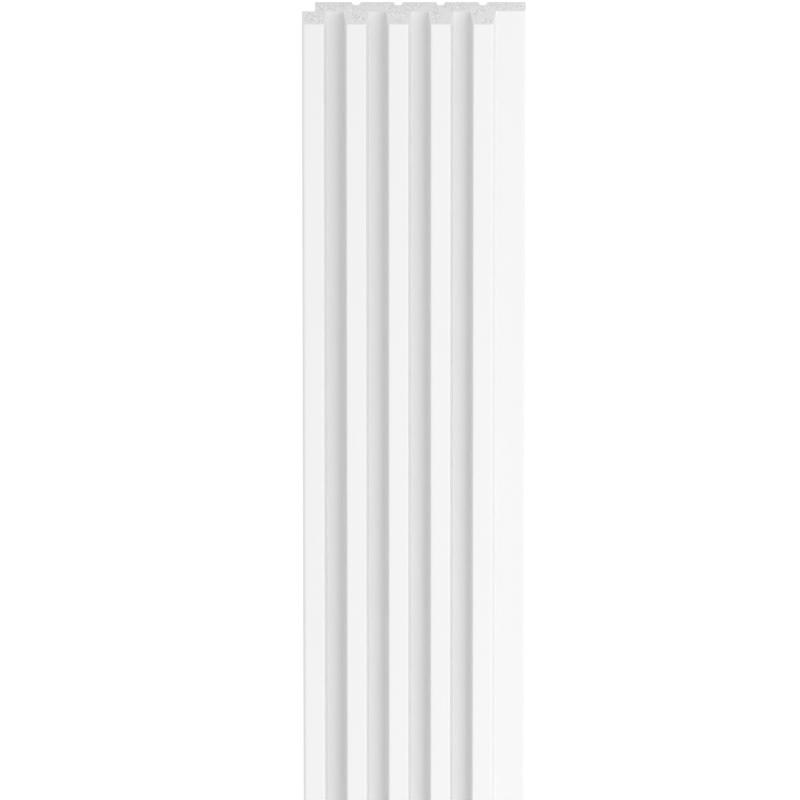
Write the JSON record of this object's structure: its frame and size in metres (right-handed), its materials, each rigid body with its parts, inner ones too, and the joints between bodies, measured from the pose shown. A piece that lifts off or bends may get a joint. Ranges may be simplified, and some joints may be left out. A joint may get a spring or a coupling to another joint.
{
  "type": "slatted wall panel",
  "caption": "Long one-piece foam plastic wall panel with tapered slats on its face, glue grooves in its back, and a tongue and lap along its two sides.",
  "frame": {"origin": "middle of the panel's outline, on the back plane that lies on the floor", "axes": "+X across the panel from the lap to the tongue, +Y along its length, +Z out of the slatted face"},
  "size_m": [0.129, 2.65, 0.021],
  "materials": {
    "foam_plastic": "smooth satin white skin, with a finely grained cut end where the foam is open"
  },
  "bodies": {
    "root": {"slat_panel": "foam_plastic"}
  },
  "joints": []
}
